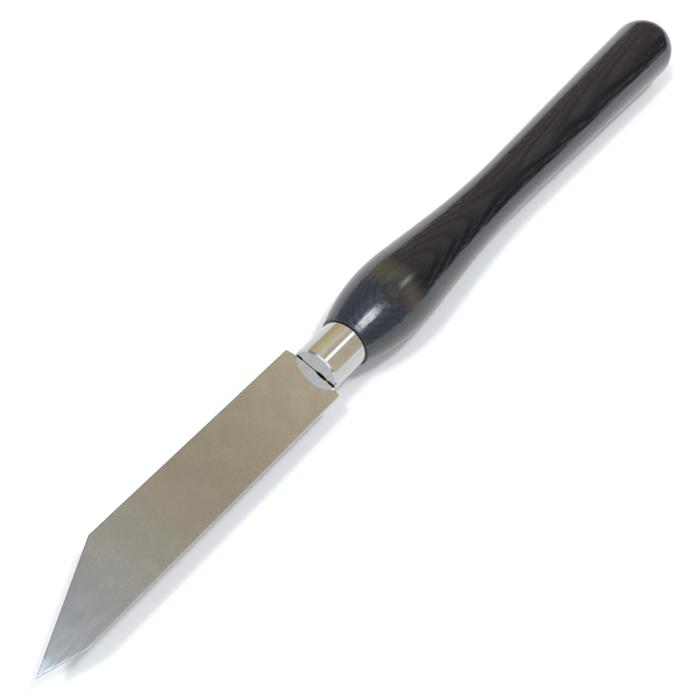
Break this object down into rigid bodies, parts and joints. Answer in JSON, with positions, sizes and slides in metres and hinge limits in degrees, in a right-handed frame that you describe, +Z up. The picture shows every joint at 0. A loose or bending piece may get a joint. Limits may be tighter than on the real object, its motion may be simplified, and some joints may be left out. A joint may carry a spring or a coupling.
{
  "type": "woodturning parting tool",
  "caption": "Thin woodturning parting tool: flat pointed steel blade in a slotted bright ferrule on a turned black wood handle, lying on its side.",
  "frame": {"origin": "on the surface the tool lies on, midway between the tip and the butt, below the axis", "axes": "+X from the cutting tip towards the butt of the handle, +Z up, +Y towards the blade edge with the long bevel"},
  "size_m": [0.3986, 0.0312, 0.0312],
  "materials": {
    "ground_steel": "satin",
    "plated_steel": "polished",
    "black_wood": "gloss"
  },
  "bodies": {
    "root": {"blade": "ground_steel", "ferrule": "plated_steel", "handle": "black_wood"}
  },
  "joints": []
}
